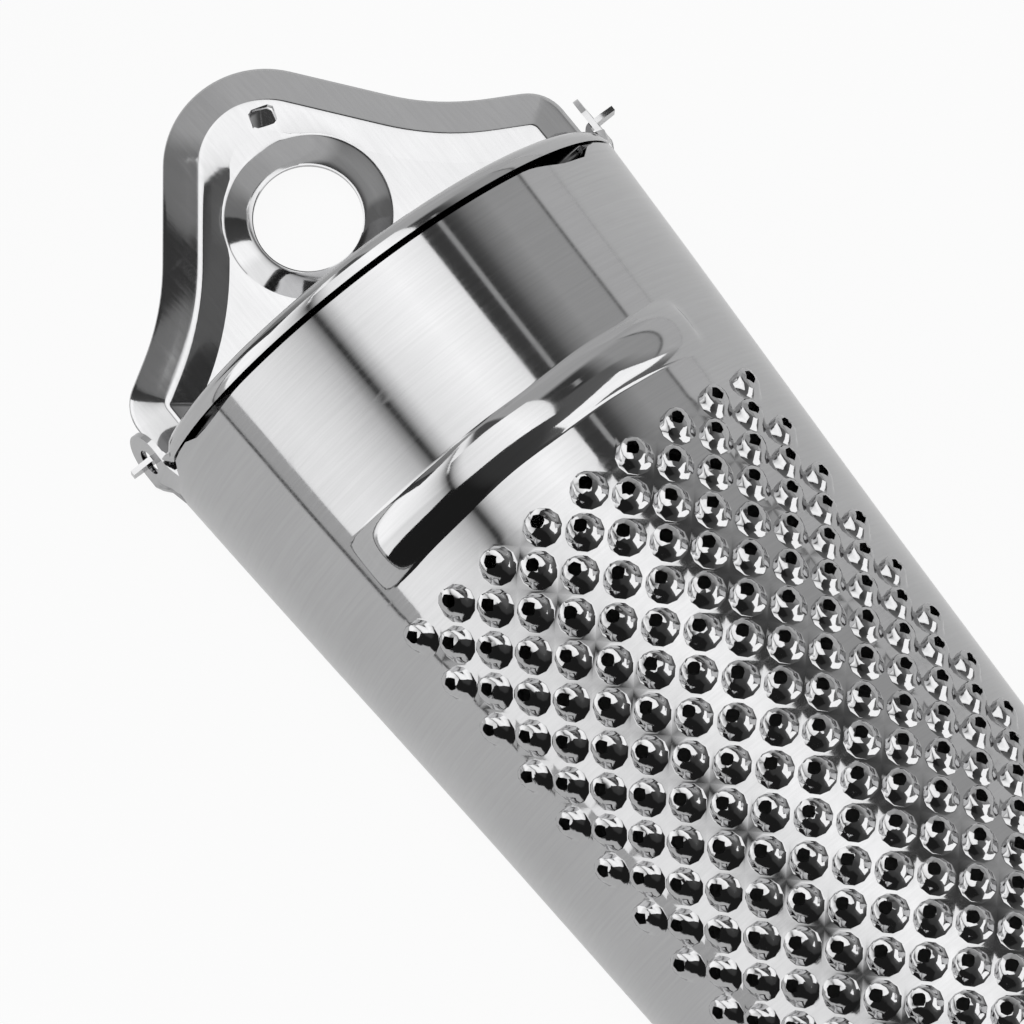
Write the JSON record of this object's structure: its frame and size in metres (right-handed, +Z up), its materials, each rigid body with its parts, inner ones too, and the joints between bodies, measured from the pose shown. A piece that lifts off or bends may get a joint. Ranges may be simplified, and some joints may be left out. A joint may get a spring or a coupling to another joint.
{
  "type": "nutmeg grater",
  "caption": "Tapered half-round hand grater of steel sheet with raised pierced teeth, a lidded storage compartment at the top and a hanging tab.",
  "frame": {"origin": "middle of the length and width, on the plane that the grater lies on", "axes": "+X from the hanging tab to the foot, +Z up to the grating face, +Y across"},
  "size_m": [0.138, 0.0426, 0.0212],
  "materials": {
    "body_steel": "bright, fine grain across the length",
    "plate_steel": "bright, satin",
    "inner_steel": "plain sheet",
    "lid_steel": "bright, satin"
  },
  "bodies": {
    "grater": {"grater_body": "body_steel", "hanger_plate": "plate_steel", "compartment_floor": "inner_steel"},
    "lid": {"flip_lid": "lid_steel"}
  },
  "joints": [
    {"name": "lid_hinge", "type": "hinge", "parent": "grater", "child": "lid", "pos_m": [-0.04895, 0, 0.0029], "axis": [0, -1, 0], "range_deg": [0, 92]}
  ]
}
